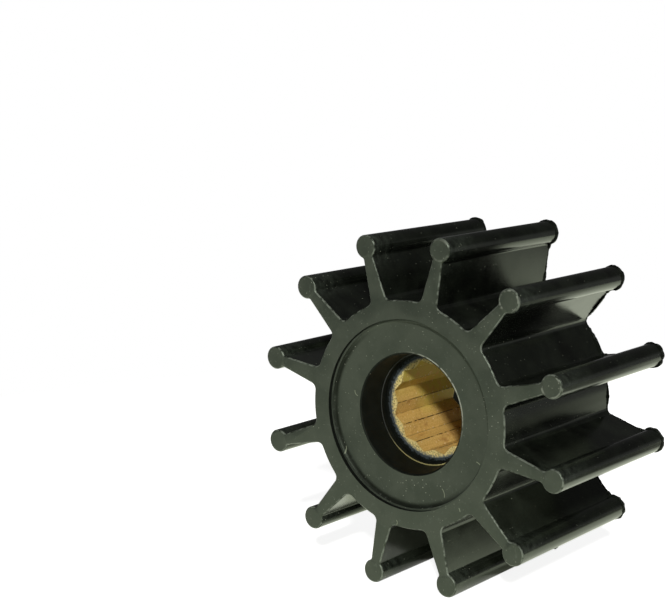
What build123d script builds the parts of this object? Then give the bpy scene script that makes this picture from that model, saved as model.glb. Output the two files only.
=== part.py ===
from build123d import *
import os

# Flexible-vane impeller for a sea-water pump: one rubber moulding bonded round a brass drive insert.
# The shaft axis is Y, the front end face looks toward -Y, and +Z is up when the impeller lies on two
# neighbouring blade tips. The origin is on the axis, halfway along the width. Sizes are millimetres.

# Whole impeller
tip_radius = 47.625             # swept radius over the blade bulbs, 3 3/4 in across
width = 52.4                    # from end face to end face
hub_radius = 29.9               # rubber hub between the blades

# Blades: straight, tapered, each ending in a round bulb that wipes the pump body
blade_count = 12
bulb_radius = 3.1
blade_root_width = 5.1          # where the flanks meet the hub
blade_neck_width = 3.1          # where the flanks meet the bulb
root_fillet = 1.8
neck_fillet = 0.8
front_edge_chamfer = 0.35       # softened moulded edge round the front outline

# Mould flash: a thin fin left on the rear parting line, flattened where the tips carry the weight
flash_reach = 0.5
flash_thickness = 0.5

# Recess in each end face: a wall, a narrow ledge, then a sloped corner down to the floor
recess_radius = 25.0
recess_ledge_depth = 1.2
recess_ledge_width = 0.5
recess_depth = 2.0
recess_corner_slope = 0.7       # reach of the sloped corner, along the floor and up the wall

# Bore through the rubber at each end, drafted for the core pin and stepped above the insert
mouth_radius = 15.7
mouth_chamfer = 0.4
draft_end_radius = 15.0
draft_end_depth = 9.9           # below the end face
seat_radius = 14.7              # short straight bore that ends on the insert
insert_depth = 12.3             # insert end below the end face
skin_radius = 13.4              # thin rubber skin on the insert end reaches in to here
skin_thickness = 0.3

# Brass insert: a sleeve with a through 12-point drive, one groove in line with each blade
drive_across_flats = 22.0
insert_radius = 16.5
keying_groove_width = 12.0      # hidden waist round the sleeve that locks it in the rubber
keying_groove_depth = 0.8

# Worked-out sizes
blade_pitch = 360 / blade_count
first_blade_angle = blade_pitch / 2
bulb_centre_radius = tip_radius - bulb_radius
neck_radius = bulb_centre_radius - bulb_radius
front_y = -width / 2
insert_front_y = front_y + insert_depth
recess_floor_radius = recess_radius - recess_ledge_width
touch = 0.001                   # for picking out corners that lie on a known circle


def blade_half_width(radius):
    """Half the blade's thickness at a distance from the axis."""
    taper = (blade_root_width - blade_neck_width) / 2 / (neck_radius - hub_radius)
    return blade_root_width / 2 - taper * (radius - hub_radius)


def corners_on_circle(sketch, centre, radius):
    """The sketch's corners that lie on a circle."""
    return [v for v in sketch.vertices() if abs((v.center() - centre).length - radius) < touch]


def blade_section():
    """One blade pointing along +X, from the axis to its bulb, with the neck corners rounded."""
    inner = blade_half_width(0)
    outer = blade_half_width(bulb_centre_radius)
    flanks = Polygon(
        (0, -inner), (bulb_centre_radius, -outer), (bulb_centre_radius, outer), (0, inner), align=None
    )
    centre = Vector(bulb_centre_radius, 0)
    blade = flanks + Pos(centre) * Circle(bulb_radius)
    return fillet(corners_on_circle(blade, centre, bulb_radius), neck_fillet)


def outline_section():
    """The moulding's outline: the hub and all its blades, with the root corners rounded."""
    blades = PolarLocations(0, blade_count, start_angle=first_blade_angle) * blade_section()
    outline = Circle(hub_radius) + blades
    return fillet(corners_on_circle(outline, Vector(0, 0), hub_radius), root_fillet)


def rest_height(tip_reach):
    """Height of the axis over a floor that two neighbouring tips stand on."""
    lowest_blade = Vector(bulb_centre_radius, 0).rotate(Axis.Z, first_blade_angle)
    return lowest_blade.X + tip_reach


def bladed_body(outline):
    """The outline run along the whole width, with its front edge softened."""
    body = extrude(Plane.XZ * outline, amount=width / 2, both=True)
    front_edges = body.edges().filter_by_position(Axis.Y, front_y - touch, front_y + touch)
    return chamfer(front_edges, front_edge_chamfer)


def rear_flash(outline):
    """The fin round the rear outline, cut level under the tips that the impeller stands on."""
    rear_plane = Plane.XZ.offset(front_y)
    fin = extrude(rear_plane * offset(outline, flash_reach), amount=flash_thickness)
    floor_block = Pos(0, 0, -rest_height(bulb_radius)) * Box(
        2 * tip_radius, 2 * width, 2 * bulb_radius, align=(Align.CENTER, Align.CENTER, Align.MAX)
    )
    return fin - floor_block


def end_core():
    """What the mould's front core takes away: the recess, the drafted bore and the stepped seat."""
    ledge_y = front_y + recess_ledge_depth
    floor_y = front_y + recess_depth
    draft_end_y = front_y + draft_end_depth
    skin_y = insert_front_y - skin_thickness
    section = Polygon(
        (0, front_y),
        (recess_radius, front_y),
        (recess_radius, ledge_y),
        (recess_floor_radius, ledge_y),
        (recess_floor_radius, floor_y),
        (mouth_radius, floor_y),
        (draft_end_radius, draft_end_y),
        (seat_radius, draft_end_y),
        (seat_radius, skin_y),
        (skin_radius, skin_y),
        (skin_radius, insert_front_y),
        (0, insert_front_y),
        align=None,
    )
    section = slope_corner(section, recess_floor_radius, floor_y, recess_corner_slope)
    section = slope_corner(section, mouth_radius, floor_y, mouth_chamfer)
    return revolve(section, Axis.Y)


def slope_corner(section, radius, y, reach):
    """Cut one corner of a half section back to a slope."""
    return chamfer(corners_on_circle(section, Vector(radius, y), 0), reach)


def insert_blank():
    """The insert before its drive is cut: a sleeve with a keying waist turned round its middle."""
    groove_y = -keying_groove_width / 2
    waist_radius = insert_radius - keying_groove_depth
    front_half = Polygon(
        (0, insert_front_y),
        (insert_radius, insert_front_y),
        (insert_radius, groove_y),
        (waist_radius, groove_y),
        (waist_radius, 0),
        (0, 0),
        align=None,
    )
    blank_section = front_half + mirror(front_half, Plane.XZ)
    return revolve(blank_section, Axis.Y)


def drive_hole():
    """The 12-point hole: two hexagons, one groove in line with each blade."""
    hexagon = RegularPolygon(drive_across_flats / 2, side_count=6, major_radius=False)
    turned = Rot(0, 0, first_blade_angle) * hexagon
    twelve_point = turned + Rot(0, 0, blade_pitch) * turned
    return extrude(Plane.XZ * twelve_point, amount=width / 2, both=True)


def rubber_impeller():
    """Hub and blades in one moulding, open at both ends and moulded round the insert."""
    outline = outline_section()
    moulding = bladed_body(outline) + rear_flash(outline)
    core = end_core()
    return moulding - core - mirror(core, Plane.XZ) - insert_blank()


def drive_insert():
    """Brass sleeve that the pump shaft turns."""
    return insert_blank() - drive_hole()


os.makedirs("parts", exist_ok=True)
export_step(rubber_impeller(), "parts/rubber_impeller.step")
export_step(drive_insert(), "parts/drive_insert.step")
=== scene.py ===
import math

import bmesh
import bpy
from mathutils import Matrix, Vector, noise


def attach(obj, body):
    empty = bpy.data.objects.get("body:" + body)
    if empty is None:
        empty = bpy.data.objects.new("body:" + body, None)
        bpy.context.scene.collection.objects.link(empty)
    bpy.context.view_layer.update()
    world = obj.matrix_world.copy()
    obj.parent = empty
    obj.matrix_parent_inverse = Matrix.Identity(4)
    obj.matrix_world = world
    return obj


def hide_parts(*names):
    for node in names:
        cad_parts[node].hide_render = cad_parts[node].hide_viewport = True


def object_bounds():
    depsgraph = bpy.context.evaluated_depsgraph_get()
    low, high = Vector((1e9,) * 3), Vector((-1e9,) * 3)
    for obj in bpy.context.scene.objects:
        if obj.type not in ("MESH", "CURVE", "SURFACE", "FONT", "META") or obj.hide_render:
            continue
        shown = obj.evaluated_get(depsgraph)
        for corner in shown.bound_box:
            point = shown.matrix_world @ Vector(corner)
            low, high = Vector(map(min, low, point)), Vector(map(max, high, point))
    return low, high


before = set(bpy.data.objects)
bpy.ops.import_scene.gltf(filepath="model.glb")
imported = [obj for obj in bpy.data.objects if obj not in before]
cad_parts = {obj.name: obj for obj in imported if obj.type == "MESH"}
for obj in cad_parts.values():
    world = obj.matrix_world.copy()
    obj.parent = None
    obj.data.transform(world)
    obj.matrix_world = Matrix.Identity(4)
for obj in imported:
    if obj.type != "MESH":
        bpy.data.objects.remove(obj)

cadBox = [list(corner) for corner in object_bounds()]
mm = 0.001
restZ = cadBox[0][2]            # the level the part stands on
rearY = cadBox[1][1]            # its rear end face
bladeCount = 12
bladePitch = 2 * math.pi / bladeCount
acrossShaft = (1.0, 0.0, 1.0)   # the shaft lies along Y
down = (0.0, 0.0, -1.0)
weldDistance = 0.002 * mm       # points nearer than this are one
flatAngle = 0.5                 # degrees, faces that turn less than this are one
print("stage: frame loaded")


def deselectAll():
    if bpy.context.object and bpy.context.object.mode != "OBJECT":
        bpy.ops.object.mode_set(mode="OBJECT")
    bpy.ops.object.select_all(action="DESELECT")


def workOn(piece):
    deselectAll()
    piece.select_set(True)
    bpy.context.view_layer.objects.active = piece


def weldedCopy(nodeName, pieceName, materials):
    # the solid's own mesh, joined up into one skin with its flat areas whole again
    piece = bpy.data.objects.new(pieceName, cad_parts[nodeName].data.copy())
    bpy.context.scene.collection.objects.link(piece)
    workOn(piece)
    bpy.ops.mesh.customdata_custom_splitnormals_clear()
    bpy.ops.object.mode_set(mode="EDIT")
    bpy.ops.mesh.select_all(action="SELECT")
    bpy.ops.mesh.remove_doubles(threshold=weldDistance)
    bpy.ops.mesh.dissolve_limited(angle_limit=math.radians(flatAngle))
    bpy.ops.object.mode_set(mode="OBJECT")
    piece.data.materials.clear()
    for material in materials:
        piece.data.materials.append(material)
    return piece


def finishPiece(piece, smoothAngle):
    workOn(piece)
    bpy.ops.object.shade_smooth_by_angle(angle=math.radians(smoothAngle))
    weighted = piece.modifiers.new("weighted", "WEIGHTED_NORMAL")
    weighted.keep_sharp = True
    bpy.ops.object.modifier_apply(modifier=weighted.name)
    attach(piece, "root")


def linear(hexColour):
    # sRGB hex to the linear values that nodes take
    parts = [int(hexColour[i:i + 2], 16) / 255 for i in (1, 3, 5)]
    return [c / 12.92 if c <= 0.04045 else ((c + 0.055) / 1.055) ** 2.4 for c in parts] + [1.0]


def addNode(tree, kind, inputs=None, **settings):
    # an input is a value, a hex colour, a socket to link, or a node whose first output is linked
    node = tree.nodes.new(kind)
    for name, value in settings.items():
        setattr(node, name, value)
    for name, value in (inputs or {}).items():
        if isinstance(value, bpy.types.Node):
            value = value.outputs[0]
        if isinstance(value, bpy.types.NodeSocket):
            tree.links.new(value, node.inputs[name])
        else:
            node.inputs[name].default_value = linear(value) if isinstance(value, str) else value
    return node


def newMaterial(name):
    # an empty material, its node tree, and the place on the object in millimetres
    material = bpy.data.materials.new(name)
    material.use_nodes = True
    tree = material.node_tree
    tree.nodes.clear()
    coordinates = addNode(tree, "ShaderNodeTexCoord")
    place = addNode(tree, "ShaderNodeVectorMath", {
        0: coordinates.outputs["Object"], "Scale": 1 / mm}, operation="SCALE")
    return material, tree, place


def overlap(tree, *limits):
    # how far all the limits hold at once, from 0 to 1: a limit is a mask, a plain share, or a
    # measure with the level where it starts to hold and the level where it holds in full
    cover = None
    for limit in limits:
        if isinstance(limit, tuple):
            measure, start, full = limit
            limit = addNode(tree, "ShaderNodeMapRange", {
                "Value": measure, "From Min": start, "From Max": full},
                interpolation_type="SMOOTHSTEP")
        if cover is not None:
            limit = addNode(tree, "ShaderNodeMath", {0: cover, 1: limit}, operation="MULTIPLY")
        cover = limit
    return cover


def paintOver(tree, under, over, *limits):
    # one colour laid over another where all the limits hold
    return addNode(tree, "ShaderNodeMix", {0: overlap(tree, *limits), 6: under, 7: over},
                   data_type="RGBA").outputs[2]


def clouds(tree, place, size, detail, start, full):
    # soft patches, where a noise of the size in mm goes from the one level to the other
    waves = addNode(tree, "ShaderNodeTexNoise", {
        "Vector": place, "Scale": 1 / size, "Detail": detail})
    return overlap(tree, (waves, start, full))


def grains(tree, place, spacing, radius, share):
    # single round grains: that share of the cells of an uneven lattice holds one
    cell = addNode(tree, "ShaderNodeTexVoronoi", {"Vector": place, "Scale": 1 / spacing})
    draw = addNode(tree, "ShaderNodeSeparateColor", {"Color": cell.outputs["Color"]})
    size = radius / spacing
    return overlap(tree, (cell.outputs["Distance"], size, 0.5 * size),
                   (draw.outputs["Red"], share, 0.0))


def shaftDistance(tree, place):
    # mm from the shaft's axis
    across = addNode(tree, "ShaderNodeVectorMath", {0: place, 1: acrossShaft},
                     operation="MULTIPLY")
    return addNode(tree, "ShaderNodeVectorMath", {0: across}, operation="LENGTH").outputs["Value"]


def sideOfShaft(tree, place, side):
    # 1 on that side of the shaft, 0 level with it, -1 on the far side
    across = addNode(tree, "ShaderNodeVectorMath", {0: place, 1: acrossShaft},
                     operation="MULTIPLY")
    outward = addNode(tree, "ShaderNodeVectorMath", {0: across}, operation="NORMALIZE")
    return addNode(tree, "ShaderNodeVectorMath", {0: outward, 1: side},
                   operation="DOT_PRODUCT").outputs["Value"]


def fromTwelfth(tree, place, turn):
    # how far round the shaft from the nearest of twelve lines: 0 on it, 0.5 halfway to the next
    split = addNode(tree, "ShaderNodeSeparateXYZ", {"Vector": place})
    angle = addNode(tree, "ShaderNodeMath", {0: split.outputs["Z"], 1: split.outputs["X"]},
                    operation="ARCTAN2")
    pitches = addNode(tree, "ShaderNodeMath", {0: angle, 1: 1 / bladePitch, 2: turn},
                      operation="MULTIPLY_ADD")
    return addNode(tree, "ShaderNodeMath", {0: pitches, 1: 0.5}, operation="PINGPONG")


# rubber moulding: one skin, glossy where it met the mould and matt where its ends were ground.
# Lengths are in mm. Clouds are their size, detail, and the levels where they start and are full.
# Grains are how far apart they are, their radius, and the share of the places that hold one.
# Other pairs are where a thing starts and where it is full
rubber = {
    "smoothAngle": 50,                       # degrees, sharper edges stay sharp
    "ior": 1.52,
    "mirrorTint": "#F0FFE4",
    "grain": 0.30,                           # coarser than the real grain, so that it shows
    "grainDepth": 0.02,
    "dust": "#B4B8A2",
    "dustDrifts": (11.0, 2.0, 0.2, 0.75),
    "fineDust": (0.9, 0.14),                 # apart and radius, the share is by finish
    "coarseDust": (5.0, 0.21),
    "coarseShare": 0.4,                      # of the fine dust's share
    # moulded skin
    "skinDark": "#070806",
    "skinLight": "#10130E",
    "skinMottle": (7.0, 3.0, 0.35, 0.65),
    "skinFilm": "#23271F",
    "filmClouds": (6.0, 4.0, 0.36, 0.8),
    "filmShare": 0.5,
    "skinRoughness": (0.19, 0.24),           # bare, and under the film
    "skinGrain": (2.0, 0.12),                # detail and strength
    "skinDust": 0.2,
    "worn": "#3C4239",
    "wornLevel": (-9.0, -29.0),              # along the shaft
    "wornReach": (38.0, 41.5),               # from the shaft
    "wornInside": 0.15,                      # what is left of the wear nearer the shaft
    "wornClouds": (1.8, 5.0, 0.2, 0.8),
    "crumbs": (1.1, 0.18, 0.4),
    # ground ends
    "groundDark": "#31362E",
    "groundLight": "#3F443A",
    "groundMottle": (7.0, 4.0, 0.35, 0.65),
    "groundRoughness": (0.50, 0.62),
    "groundGrain": (3.0, 0.3),
    "groundDust": 0.7,
    "groundGleam": (0.5, 0.22),              # mirror level, clean and under the painted recess shade
    "litSide": (0.8, 0.0, 0.6),           # the side of the shaft toward the sun: painted highlights lie on it, painted shade on the far side
    # painted shade in the foot of the recess, on the side away from the sun
    "recessShade": "#0D100B",
    "recessShadeRise": (22.8, 24.0),               # thickens out to the foot of the recess wall
    "recessShadeEnd": (24.5, 24.45),
    "recessShadeSide": (0.3, -0.4),
    "recessShadeMottle": (-0.9, 0.5),
    "mouthGlint": "#A9AD9A",
    "mouthGlintReach": (16.5, 16.3),                # painted highlight round the bore's edge
    "mouthGlintSide": (0.5, 1.0),
    "mouthGlintClouds": (1.5, 2.0, 0.3, 0.5),
    "scuffed": "#747C70",
    "scuffClouds": (1.1, 6.0, 0.58, 0.78),
    "scuffShare": 0.2,
    "ringWearAndHighlight": "#8C9182",                       # round the end of the bulbs toward the sun: rubbed wear and painted highlight
    "bulbCentre": 44.525,                    # from the shaft
    "ringInner": (2.25, 2.6),                # from the bulb's centre
    "ringOuter": (3.0, 2.8),
    "ringSide": (0.6, 1.1),
    "ringClouds": (1.5, 3.0, 0.46, 0.62),
    "fibreColour": "#7E846E",
    "fibreWidth": 0.1,                       # wider than a real fibre, so that it shows
    # each fibre's middle, bend radius, length, and the lean of its bend in degrees
    "fibres": (((10.2, -24.2, -19.3), 2.5, 2.4, 17), ((-17.4, -24.2, 3.8), 1.2, 1.8, 212),
               ((-3.3, -26.2, -28.6), 0.8, 1.4, 0), ((16.2, -26.2, -22.4), 3.0, 1.0, 20),
               ((20.7, -24.2, -10.2), 2.0, 1.2, 60), ((-20.9, -24.2, -11.9), 6.0, 2.4, 0)),
    # cored bore
    "boreDark": "#070807",
    "boreLight": "#0E100E",
    "boreMottle": (3.0, 4.0, 0.35, 0.65),
    "boreRoughness": 0.62,
    "boreGleam": 0.2,                        # mirror level
    "boreDust": (1.6, 0.14, 0.2),
    "seatFilm": "#3B4143",
    "seatLevel": (14.5, 14.3),               # along the shaft, the skin on the insert's end
    "smearEdge": (14.75, 15.15),             # from the shaft, where rubber is smeared on that end
    "smearGrain": (0.6, 4.0),                # size and detail of that edge's raggedness
    "smearSwing": 2.2,                       # how far it swings
    # rubbed edges
    "edgeDark": "#22261F",
    "edgeLight": "#6C7266",
    "edgeClouds": (1.2, 4.0, 0.35, 0.6),
    "edgeRoughness": 0.36,
    "lip": "#3B3C39",                        # the narrow lip inside the bore
    "lipEdge": (15.35, 15.25),
    # painted reflection of the lit brass, on the lip's lower side
    "brassReflection": "#9A9260",
    "brassReflectionSide": (0.45, 0.95),
    # which faces have which finish
    "groundLevel": 23.0,                     # along the shaft, nothing nearer was ground
    "recess": (20.0, 25.2),                  # inner and outer reach of its foot, never rubbed
    "boreReach": 16.3,
    "lipReach": 15.3,
    "lipLevel": 15.0,
    "flatFacing": 0.9,                       # how squarely a face looks along the shaft
    "slopeFacing": 0.5,
    "edgeFacing": 0.3,
}


def rubberDust(tree, place, share):
    # fine dust in drifts, and a few coarser grains anywhere
    fine = overlap(tree, grains(tree, place, *rubber["fineDust"], share),
                   clouds(tree, place, *rubber["dustDrifts"]))
    coarse = grains(tree, place, *rubber["coarseDust"], rubber["coarseShare"] * share)
    return addNode(tree, "ShaderNodeMath", {0: fine, 1: coarse}, operation="MAXIMUM")


def rubberGrain(tree, place, detail, strength):
    # the fine grain that all outer finishes have
    fine = addNode(tree, "ShaderNodeTexNoise", {
        "Vector": place, "Scale": 1 / rubber["grain"], "Detail": detail})
    return addNode(tree, "ShaderNodeBump", {
        "Height": fine, "Strength": strength, "Distance": rubber["grainDepth"] * mm})


def rubberSurface(tree, sockets):
    # what all finishes of the rubber share
    shader = addNode(tree, "ShaderNodeBsdfPrincipled", {
        "IOR": rubber["ior"], "Specular Tint": rubber["mirrorTint"], **sockets})
    addNode(tree, "ShaderNodeOutputMaterial", {"Surface": shader})


def smearDistance(tree, place):
    # distance from the shaft, made uneven for the ragged edge of a smear
    size, detail = rubber["smearGrain"]
    rough = addNode(tree, "ShaderNodeTexNoise", {
        "Vector": place, "Scale": 1 / size, "Detail": detail})
    return addNode(tree, "ShaderNodeMath", {
        0: rough, 1: rubber["smearSwing"], 2: shaftDistance(tree, place)},
        operation="MULTIPLY_ADD")


def fibreMark(tree, place, middle, bend, length, lean):
    # a short curved fibre lying on an end face: a thin ring round a point, cut to the length
    side = Vector((math.cos(math.radians(lean)), 0, math.sin(math.radians(lean))))
    middle = Vector(middle)
    reach = addNode(tree, "ShaderNodeVectorMath", {0: place, 1: middle - bend * side},
                    operation="DISTANCE").outputs["Value"]
    off = addNode(tree, "ShaderNodeMath", {0: reach, 1: bend}, operation="SUBTRACT")
    away = addNode(tree, "ShaderNodeMath", {0: off}, operation="ABSOLUTE")
    along = addNode(tree, "ShaderNodeVectorMath", {0: place, 1: middle},
                    operation="DISTANCE").outputs["Value"]
    width = rubber["fibreWidth"]
    return overlap(tree, (away, 1.5 * width, 0.5 * width),
                   (along, 0.5 * length + width, 0.5 * length - width))


def bulbRing(tree, place, side):
    # a broken ring near the rim of each bulb's end, found by folding the twelve blades onto one;
    # only the blades toward the given side keep it
    angle = addNode(tree, "ShaderNodeMath", {0: fromTwelfth(tree, place, 0.5), 1: bladePitch},
                    operation="MULTIPLY")
    radius = shaftDistance(tree, place)
    parts = []
    for operation in ("COSINE", "SINE"):
        share = addNode(tree, "ShaderNodeMath", {0: angle}, operation=operation)
        parts.append(addNode(tree, "ShaderNodeMath", {0: radius, 1: share}, operation="MULTIPLY"))
    folded = addNode(tree, "ShaderNodeCombineXYZ", {"X": parts[0], "Y": parts[1]})
    reach = addNode(tree, "ShaderNodeVectorMath", {0: folded, 1: (rubber["bulbCentre"], 0.0, 0.0)},
                    operation="DISTANCE").outputs["Value"]
    return overlap(tree, (reach, *rubber["ringInner"]), (reach, *rubber["ringOuter"]),
                   (side, *rubber["ringSide"]), clouds(tree, place, *rubber["ringClouds"]))


def rubberSkinMaterial():
    # nitrile rubber, compression moulded: near black and satin, so that it mirrors pale
    # surroundings at a shallow angle; handling leaves a thin grey film and grains of dust
    material, tree, place = newMaterial("nitrileRubberMoulded")
    film = clouds(tree, place, *rubber["filmClouds"])
    tone = paintOver(tree, rubber["skinDark"], rubber["skinLight"],
                     clouds(tree, place, *rubber["skinMottle"]))
    tone = paintOver(tree, tone, rubber["skinFilm"], film, rubber["filmShare"])
    # the front ends of the blades are scuffed grey and hold more grains
    nearBulb = addNode(tree, "ShaderNodeMapRange", {
        "Value": shaftDistance(tree, place), "From Min": rubber["wornReach"][0],
        "From Max": rubber["wornReach"][1], "To Min": rubber["wornInside"]})
    level = addNode(tree, "ShaderNodeSeparateXYZ", {"Vector": place}).outputs["Y"]
    worn = overlap(tree, (level, *rubber["wornLevel"]), nearBulb)
    tone = paintOver(tree, tone, rubber["worn"], worn,
                     clouds(tree, place, *rubber["wornClouds"]))
    tone = paintOver(tree, tone, rubber["dust"], worn, grains(tree, place, *rubber["crumbs"]))
    tone = paintOver(tree, tone, rubber["dust"], rubberDust(tree, place, rubber["skinDust"]))
    bare, filmed = rubber["skinRoughness"]
    roughness = addNode(tree, "ShaderNodeMapRange", {
        "Value": film, "To Min": bare, "To Max": filmed})
    rubberSurface(tree, {"Base Color": tone, "Roughness": roughness,
                         "Normal": rubberGrain(tree, place, *rubber["skinGrain"])})
    return material


def rubberGroundMaterial():
    # the same rubber, ground flat across its ends: the cut skin is greyer, greener and matt
    material, tree, place = newMaterial("nitrileRubberGround")
    mottle = clouds(tree, place, *rubber["groundMottle"])
    radius = shaftDistance(tree, place)
    side = sideOfShaft(tree, place, rubber["litSide"])
    tone = paintOver(tree, rubber["groundDark"], rubber["groundLight"], mottle)
    # painted shade in the foot of the recess, on the side away from the sun; it also dulls the
    # mirror there
    recessShade = overlap(tree, (radius, *rubber["recessShadeRise"]), (radius, *rubber["recessShadeEnd"]),
                    (side, *rubber["recessShadeSide"]))
    tone = paintOver(tree, tone, rubber["recessShade"], recessShade, (mottle, *rubber["recessShadeMottle"]))
    # painted highlight along the bore's edge on the side toward the sun, standing in for the lit
    # brass mirrored there
    tone = paintOver(tree, tone, rubber["mouthGlint"], (radius, *rubber["mouthGlintReach"]),
                     (side, *rubber["mouthGlintSide"]), clouds(tree, place, *rubber["mouthGlintClouds"]))
    tone = paintOver(tree, tone, rubber["scuffed"],
                     clouds(tree, place, *rubber["scuffClouds"]), rubber["scuffShare"])
    # a pale ring round the bulbs' ends on the blades toward the sun: rubbed wear, and painted
    # highlight where the rims catch the light
    tone = paintOver(tree, tone, rubber["ringWearAndHighlight"], bulbRing(tree, place, side))
    for fibre in rubber["fibres"]:
        tone = paintOver(tree, tone, rubber["fibreColour"], fibreMark(tree, place, *fibre))
    tone = paintOver(tree, tone, rubber["dust"], rubberDust(tree, place, rubber["groundDust"]))
    smooth, rough = rubber["groundRoughness"]
    roughness = addNode(tree, "ShaderNodeMapRange", {
        "Value": mottle, "To Min": smooth, "To Max": rough})
    clean, dull = rubber["groundGleam"]
    gleam = addNode(tree, "ShaderNodeMapRange", {
        "Value": recessShade, "To Min": clean, "To Max": dull})
    rubberSurface(tree, {"Base Color": tone, "Roughness": roughness, "Specular IOR Level": gleam,
                         "Normal": rubberGrain(tree, place, *rubber["groundGrain"])})
    return material


def rubberEdgeMaterial():
    # edges of the moulding rubbed pale by handling, smooth enough to glint
    material, tree, place = newMaterial("nitrileRubberRubbed")
    inBore = overlap(tree, (shaftDistance(tree, place), *rubber["lipEdge"]))
    tone = paintOver(tree, rubber["edgeDark"], rubber["edgeLight"],
                     clouds(tree, place, *rubber["edgeClouds"]))
    tone = paintOver(tree, tone, rubber["lip"], inBore)
    # painted brass-coloured reflection on the lower side of the lip
    tone = paintOver(tree, tone, rubber["brassReflection"], inBore,
                     (sideOfShaft(tree, place, down), *rubber["brassReflectionSide"]))
    rubberSurface(tree, {"Base Color": tone, "Roughness": rubber["edgeRoughness"]})
    return material


def rubberBoreMaterial():
    # the bore, shaped by a core pin and dusted with chalk: the blackest and least glossy part
    material, tree, place = newMaterial("nitrileRubberCored")
    tone = paintOver(tree, rubber["boreDark"], rubber["boreLight"],
                     clouds(tree, place, *rubber["boreMottle"]))
    tone = paintOver(tree, tone, rubber["dust"], grains(tree, place, *rubber["boreDust"]))
    level = addNode(tree, "ShaderNodeSeparateXYZ", {"Vector": place}).outputs["Y"]
    depth = addNode(tree, "ShaderNodeMath", {0: level}, operation="ABSOLUTE")
    smearStart, smearFull = rubber["smearEdge"]
    tone = paintOver(tree, tone, rubber["seatFilm"], (depth, *rubber["seatLevel"]),
                     (smearDistance(tree, place), smearFull, smearStart))
    rubberSurface(tree, {"Base Color": tone, "Roughness": rubber["boreRoughness"],
                         "Specular IOR Level": rubber["boreGleam"]})
    return material


# flash: the thin ragged fin that the mould left round the rear edge, lengths in mm
flash = {
    "thickness": 0.5,           # as the solid has it
    "step": 0.40,               # between its points
    "bite": 0.46,               # the deepest nick
    "bulbStart": 40.5,          # from the shaft, further out it is fuller
    "onBulbs": (1.5, 0.22, 0.9),    # size of a nick, and its mean and swing in bites
    "between": (5.0, 0.45, 1.0),
    "nickPlace": (3.1, 0.0, 7.7),   # where in the noise it is read
    "fray": 0.45,               # size of the finer raggedness
    "frayShare": 0.4,
    "frayPlace": (0.0, 5.3, 0.0),
    "thinning": 0.22,           # lost from its thickness where it is torn
    "undercut": 0.08,           # the inner rim is torn deeper by this
    "restBand": 0.05,           # the flat under the two resting blades stays whole
    "upright": 0.1,             # a face of its rim looks along the shaft by less than this
    "straight": 0.01,           # how far out of line an edge may be
    "level": 0.02,              # and how far off its level
}


def rimPoints(mesh):
    # the fin's rim is where a short edge runs along the shaft at the rear end
    inner = rearY - flash["thickness"] * mm
    slack = flash["level"] * mm
    rim = set()
    for edge in mesh.edges:
        first, second = (mesh.vertices[i].co for i in edge.vertices)
        sideways = math.hypot(first.x - second.x, first.z - second.z)
        lowest, highest = sorted((first.y, second.y))
        if (sideways < flash["straight"] * mm and abs(lowest - inner) < slack
                and abs(highest - rearY) < slack):
            rim.update(edge.vertices)
    return rim


def cutRow(edge, start, cuts):
    # new points at even steps along an edge, in order from its start
    points = []
    for left in range(cuts, 0, -1):
        point = bmesh.utils.edge_split(edge, start, 1 / (left + 1))[1]
        edge = next(side for side in point.link_edges if start not in side.verts)
        start = point
        points.append(point)
    return points


def splitRim(mesh):
    # the rim's wall is cut across at even steps, so that its points can move one by one
    rim = rimPoints(mesh)
    work = bmesh.new()
    work.from_mesh(mesh)
    walls = [face for face in work.faces if abs(face.normal.y) < flash["upright"]
             and all(point.index in rim for point in face.verts)]
    for wall in walls:
        near, far = [edge for edge in wall.edges
                     if abs(edge.verts[0].co.y - edge.verts[1].co.y) < flash["straight"] * mm]
        cuts = round(near.calc_length() / (flash["step"] * mm)) - 1
        if cuts < 1:
            continue
        start = near.verts[0]
        across = min(far.verts, key=lambda point: (point.co - start.co).length)
        for first, second in zip(cutRow(near, start, cuts), cutRow(far, across, cuts)):
            joint = next(face for face in first.link_faces if second in face.verts)
            bmesh.utils.face_split(joint, first, second)
    work.to_mesh(mesh)
    work.free()
    mesh.update()


def raggedFlash(piece):
    mesh = piece.data
    workOn(piece)
    splitRim(mesh)
    rim = rimPoints(mesh)
    outward = {point: Vector() for point in rim}
    for face in mesh.polygons:
        if abs(face.normal.y) < flash["upright"] and all(point in rim for point in face.vertices):
            for point in face.vertices:
                outward[point] += face.normal
    for point, direction in outward.items():
        place = mesh.vertices[point].co
        spot = Vector((place.x, 0, place.z)) / mm
        size, mean, swing = flash["onBulbs" if spot.length > flash["bulbStart"] else "between"]
        nick = noise.noise(spot / size + Vector(flash["nickPlace"]))
        fray = flash["frayShare"] * noise.noise(spot / flash["fray"] + Vector(flash["frayPlace"]))
        bite = min(max(mean + swing * (nick + fray), 0.0), 1.0) * flash["bite"]
        if place.z < restZ + flash["restBand"] * mm:
            bite = 0
        if rearY - place.y > flash["level"] * mm and bite:
            bite = min(bite + flash["undercut"], flash["bite"])
            place.y += flash["thinning"] * (1 - flash["frayShare"] + fray) * mm
        mesh.vertices[point].co = place - direction.normalized() * bite * mm
    bpy.ops.object.mode_set(mode="EDIT")
    bpy.ops.mesh.select_all(action="SELECT")
    bpy.ops.mesh.quads_convert_to_tris(quad_method="BEAUTY", ngon_method="BEAUTY")
    bpy.ops.object.mode_set(mode="OBJECT")
    print("stage: flash made ragged at", len(rim), "points")


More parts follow.
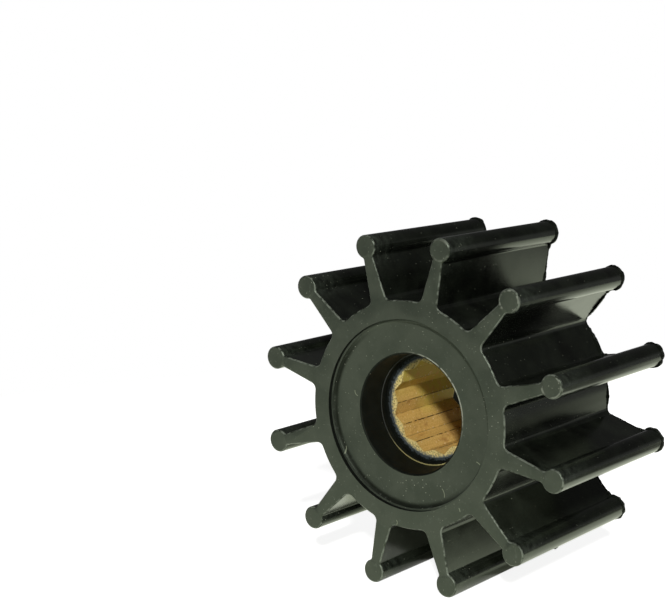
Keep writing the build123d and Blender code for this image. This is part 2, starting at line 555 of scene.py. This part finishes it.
def finishOf(face):
    # which finish of the moulding a face has
    facing = face.normal.y * math.copysign(1, face.center.y)
    radius = math.hypot(face.center.x, face.center.z) / mm
    depth = abs(face.center.y) / mm
    recessStart, recessEnd = rubber["recess"]
    inRecess = recessStart < radius < recessEnd
    if depth > rubber["groundLevel"]:
        if facing > rubber["slopeFacing" if inRecess else "flatFacing"]:
            return "ground"
        if facing > rubber["edgeFacing"] and radius > recessEnd:
            return "edge"
    if facing > rubber["flatFacing"] and radius < rubber["lipReach"] and depth > rubber["lipLevel"]:
        return "edge"
    return "bore" if radius < rubber["boreReach"] or inRecess else "skin"


finishes = {"skin": rubberSkinMaterial(), "ground": rubberGroundMaterial(),
            "edge": rubberEdgeMaterial(), "bore": rubberBoreMaterial()}
finishNames = list(finishes)
body = weldedCopy("rubber_impeller", "mouldedRubber", finishes.values())
for face in body.data.polygons:
    face.material_index = finishNames.index(finishOf(face))
raggedFlash(body)
finishPiece(body, rubber["smoothAngle"])
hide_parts("rubber_impeller")
print("stage: rubber done", len(body.data.polygons))

# drive insert: a brass sleeve, dull inside, with rubber smeared on its ends. Values are written
# as they are for the rubber
brass = {
    "smoothAngle": 20,
    "gleam": "#F2DC90",
    "metallic": 0.12,                        # most of the light is scattered by the oxide
    "roughness": (0.6, 0.8),                 # bare and tarnished
    "bump": (0.6, 0.05),                     # strength and height
    "clean": "#E2BF72",
    "dark": "#C3994E",
    "streaks": (1.0, 3.0, 0.2, 0.8),         # size in streaks, coarser than the real ones
    "streakAcross": 0.45,
    "streakAlong": 9.0,
    "grit": (0.4, 3.0, 0.3, 0.7),
    "gritShare": 0.6,
    "tarnish": "#9A6238",
    "tarnishClouds": (3.5, 4.0, 0.52, 0.74),
    "tarnishShare": 0.55,
    "oliveTint": "#CBBD55",
    "oliveTintSide": (0.1, -0.8),               # from level with the shaft to the top
    "deepSide": (0.55, 0.0),                 # deeper in the hole it reaches lower
    "deepLevel": (-8.0, 3.0),                # along the shaft
    "oliveTintClouds": (2.0, 3.0, 0.1, 0.6),
    "chip": "#FFF0C8",
    "chips": (0.9, 0.26, 0.7),
    "chipClouds": (2.5, 2.0, 0.4, 0.6),
    # pits, and the dark lines along the corners; on the crests those lines are painted shade
    "groove": "#2A1D0E",
    "pits": (0.9, 0.16, 0.2),
    "corners": ((0.0, 1.0), (0.5, 0.35)),    # turn in pitches of each set, and how dark: crests, painted shade, then grooves
    "cornerClouds": (1.6, 2.0, 0.36, 0.52),
    "holeRadius": 11.9,
    "lineWidth": (0.22, 0.066),              # the broach's dark line, its fringe and its core
    "lineSide": (-0.35, 0.15),               # fainter at the top
    "lineAtTop": 0.3,
    "endLevel": 13.6,                        # along the shaft, where the end faces begin
    "toothEnd": "#F4E29A",
    "toothShare": 0.75,
    "granule": "#8C7A45",
    "granules": (0.45, 3.0, 0.45, 0.7),
    "film": "#646B69",
    "filmEdge": (13.6, 14.5),                # from the shaft
    "smear": "#12150F",
}


def brassMaterial():
    # brass, broached: fine streaks along the shaft, brown tarnish, pits, and a dull oxide
    # that scatters most of the light
    material, tree, place = newMaterial("brassBroached")
    across, along = 1 / brass["streakAcross"], 1 / brass["streakAlong"]
    stretched = addNode(tree, "ShaderNodeVectorMath", {0: place, 1: (across, along, across)},
                        operation="MULTIPLY")
    surface = addNode(tree, "ShaderNodeMix", {
        "Factor": brass["gritShare"], "A": clouds(tree, stretched, *brass["streaks"]),
        "B": clouds(tree, place, *brass["grit"])})
    tarnish = clouds(tree, place, *brass["tarnishClouds"])
    tone = paintOver(tree, brass["dark"], brass["clean"], surface)
    tone = paintOver(tree, tone, brass["tarnish"], tarnish, brass["tarnishShare"])
    # an olive tint at the top of the hole, and lower down deep inside it
    level = addNode(tree, "ShaderNodeSeparateXYZ", {"Vector": place}).outputs["Y"]
    low = sideOfShaft(tree, place, down)
    oliveTint = addNode(tree, "ShaderNodeMath", {
        0: overlap(tree, (low, *brass["oliveTintSide"])),
        1: overlap(tree, (level, *brass["deepLevel"]), (low, *brass["deepSide"]))},
        operation="MAXIMUM")
    tone = paintOver(tree, tone, brass["oliveTint"], oliveTint,
                     clouds(tree, place, *brass["oliveTintClouds"]))
    tone = paintOver(tree, tone, brass["chip"], grains(tree, place, *brass["chips"]),
                     clouds(tree, place, *brass["chipClouds"]))
    tone = paintOver(tree, tone, brass["groove"], grains(tree, place, *brass["pits"]))
    # a thin dark line along every corner of the hole, broken up in places and fainter at the top.
    # On the crests it is painted shade, for the facet each crest hides
    lineWeight = addNode(tree, "ShaderNodeMapRange", {
        "Value": low, "From Min": brass["lineSide"][0], "From Max": brass["lineSide"][1],
        "To Min": brass["lineAtTop"]})
    broken = overlap(tree, clouds(tree, place, *brass["cornerClouds"]), lineWeight)
    for turn, darkness in brass["corners"]:
        away = addNode(tree, "ShaderNodeMath", {
            0: fromTwelfth(tree, place, turn), 1: bladePitch * brass["holeRadius"]},
            operation="MULTIPLY")
        tone = paintOver(tree, tone, brass["groove"], (away, *brass["lineWidth"]), darkness, broken)
    # the end faces: bare granular tooth ends, a thin grey film and the black smear
    depth = addNode(tree, "ShaderNodeMath", {0: level}, operation="ABSOLUTE")
    onEnd = addNode(tree, "ShaderNodeMath", {0: depth, 1: brass["endLevel"]},
                    operation="GREATER_THAN")
    ragged = smearDistance(tree, place)
    film = overlap(tree, (ragged, *brass["filmEdge"]), onEnd)
    tone = paintOver(tree, tone, brass["toothEnd"], onEnd, brass["toothShare"])
    tone = paintOver(tree, tone, brass["granule"], onEnd, clouds(tree, place, *brass["granules"]))
    tone = paintOver(tree, tone, brass["film"], film)
    tone = paintOver(tree, tone, brass["smear"], (ragged, *rubber["smearEdge"]), onEnd)
    bare, tarnished = brass["roughness"]
    roughness = addNode(tree, "ShaderNodeMapRange", {
        "Value": tarnish, "To Min": bare, "To Max": tarnished})
    metallic = addNode(tree, "ShaderNodeMapRange", {
        "Value": film, "To Min": brass["metallic"], "To Max": 0.0})
    strength, height = brass["bump"]
    bump = addNode(tree, "ShaderNodeBump", {
        "Height": surface, "Strength": strength, "Distance": height * mm})
    shader = addNode(tree, "ShaderNodeBsdfPrincipled", {
        "Specular Tint": brass["gleam"], "Base Color": tone, "Metallic": metallic,
        "Roughness": roughness, "Normal": bump})
    addNode(tree, "ShaderNodeOutputMaterial", {"Surface": shader})
    return material


insert = weldedCopy("drive_insert", "brassInsert", [brassMaterial()])
finishPiece(insert, brass["smoothAngle"])
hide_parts("drive_insert")
print("stage: insert done")

# studio: a paper floor, a dim ceiling over a pale horizon, and one soft sun from the front right,
# lengths in mm
studio = {
    "floorRadius": 320.0,
    "floorCorners": 96,
    "paper": "#F6F6F2",
    "glow": "#FFFFFF",                  # lifts the paper to white for the eye
    "glowStrength": 0.88,
    "mirroredGlow": "#F6FFE0",          # the same as the rubber mirrors it
    "contactReach": 70.0,               # from the part
    "contactRange": (0.02, 0.42),       # how open the paper is there, mirrored black and white
    "paintedShadeTowards": (0.77, 0.64, 0.0),   # painted shade on the paper on this side, seen only in what the part mirrors
    "paintedShadeEdge": (0.90, 0.985),          # cosine of the angle from its middle, lit and shaded
    "paintedShadeStart": (85.0, 120.0),         # from under the shaft, lit and shaded
    "paintedShadeKept": 0.10,                    # share of the mirrored glow left in the painted shade
    # the paper's colour in the painted shade, as mirrored
    "paintedShadePaper": "#7A7A74",
    "ceiling": 0.05,
    "horizon": 0.22,                    # what is mirrored of it
    "horizonTop": 0.25,
    "sunFrom": (0.511, -0.724, 0.464),
    "sunPower": 2.7,
    "sunAngle": 5.0,                    # degrees
}


def rayKinds(tree):
    # whether a ray comes from the camera, and whether from a mirroring or a clear surface
    light = addNode(tree, "ShaderNodeLightPath")
    mirrored = addNode(tree, "ShaderNodeMath", {
        0: light.outputs["Is Glossy Ray"], 1: light.outputs["Is Transmission Ray"]},
        operation="MAXIMUM")
    return light.outputs["Is Camera Ray"], mirrored


def floorMaterial():
    # matt white paper, lifted to white for the eye and still darkened by the part's shadow;
    # what the rubber mirrors is darker and greener close under the part, with painted shade in a
    # sector to one side
    material, tree, place = newMaterial("whitePaper")
    seen, mirrored = rayKinds(tree)
    openness = addNode(tree, "ShaderNodeAmbientOcclusion", {
        "Distance": studio["contactReach"] * mm}, samples=8).outputs["AO"]
    distance = addNode(tree, "ShaderNodeVectorMath", {0: place}, operation="LENGTH")
    outward = addNode(tree, "ShaderNodeVectorMath", {0: place}, operation="NORMALIZE")
    turned = addNode(tree, "ShaderNodeVectorMath", {0: outward, 1: studio["paintedShadeTowards"]},
                     operation="DOT_PRODUCT")
    # painted shade: a sector of the paper, dimmed and darkened only in what the part mirrors
    shade = overlap(tree, (turned.outputs["Value"], *studio["paintedShadeEdge"]),
                    (distance.outputs["Value"], *studio["paintedShadeStart"]))
    kept = addNode(tree, "ShaderNodeMapRange", {
        "Value": shade, "To Min": 1.0, "To Max": studio["paintedShadeKept"]})
    share = addNode(tree, "ShaderNodeMath", {
        0: overlap(tree, (openness, *studio["contactRange"]), kept, mirrored), 1: seen},
        operation="MAXIMUM")
    paper = addNode(tree, "ShaderNodeBsdfDiffuse", {
        "Color": paintOver(tree, studio["paper"], studio["paintedShadePaper"], shade, mirrored)})
    glow = addNode(tree, "ShaderNodeEmission", {
        "Color": paintOver(tree, studio["glow"], studio["mirroredGlow"], mirrored),
        "Strength": overlap(tree, share, studio["glowStrength"])})
    both = addNode(tree, "ShaderNodeAddShader", {0: paper, 1: glow})
    addNode(tree, "ShaderNodeOutputMaterial", {"Surface": both})
    return material


def paperFloor():
    deselectAll()
    bpy.ops.mesh.primitive_circle_add(
        vertices=studio["floorCorners"], radius=studio["floorRadius"] * mm, fill_type="NGON",
        location=(0, 0, restZ))
    floor = bpy.context.object
    floor.name = "paperFloor"
    floor.data.materials.append(floorMaterial())


def worldLight():
    # white for the eye, dim as light on the part, and paler toward the horizon where it is mirrored
    world = bpy.data.worlds.new("studioWorld")
    bpy.context.scene.world = world
    world.use_nodes = True
    tree = world.node_tree
    tree.nodes.clear()
    seen, mirrored = rayKinds(tree)
    direction = addNode(tree, "ShaderNodeTexCoord").outputs["Generated"]
    height = addNode(tree, "ShaderNodeSeparateXYZ", {"Vector": direction}).outputs["Z"]
    gleam = addNode(tree, "ShaderNodeMapRange", {
        "Value": height, "From Min": studio["horizonTop"], "From Max": 0.0,
        "To Min": studio["ceiling"], "To Max": studio["horizon"]},
        interpolation_type="SMOOTHSTEP")
    dim = addNode(tree, "ShaderNodeMath", {
        0: overlap(tree, gleam, mirrored), 1: studio["ceiling"]}, operation="MAXIMUM")
    strength = addNode(tree, "ShaderNodeMath", {0: dim, 1: seen}, operation="MAXIMUM")
    sky = addNode(tree, "ShaderNodeBackground", {"Color": studio["glow"], "Strength": strength})
    addNode(tree, "ShaderNodeOutputWorld", {"Surface": sky})


def sunLamp():
    deselectAll()
    bpy.ops.object.light_add(type="SUN", location=studio["sunFrom"])
    sun = bpy.context.object
    sun.name = "softSun"
    sun.data.energy = studio["sunPower"]
    sun.data.angle = math.radians(studio["sunAngle"])
    sun.rotation_euler = Vector(studio["sunFrom"]).to_track_quat("Z", "Y").to_euler()


paperFloor()
worldLight()
sunLamp()

# camera in front of the part, to its right and a little above it, in metres
shot = {
    "place": (0.2305, -0.3458, 0.0823),
    "right": (0.78585, 0.61777, -0.02817),    # its own right and back
    "back": (0.61556, -0.77703, 0.13157),
    "lens": 84.79,                            # mm, as is the sensor
    "sensor": 36.0,
    "clip": (0.01, 20.0),
}


def shotCamera():
    data = bpy.data.cameras.new("shotCamera")
    data.lens = shot["lens"]
    data.sensor_width = shot["sensor"]
    data.clip_start, data.clip_end = shot["clip"]
    camera = bpy.data.objects.new("shotCamera", data)
    bpy.context.scene.collection.objects.link(camera)
    right, back = Vector(shot["right"]), Vector(shot["back"])
    turn = Matrix((right, back.cross(right), back)).transposed()
    camera.matrix_world = Matrix.Translation(shot["place"]) @ turn.to_4x4()
    bpy.context.scene.camera = camera


shotCamera()
bpy.context.scene.view_settings.view_transform = "Standard"
print("stage: studio done")
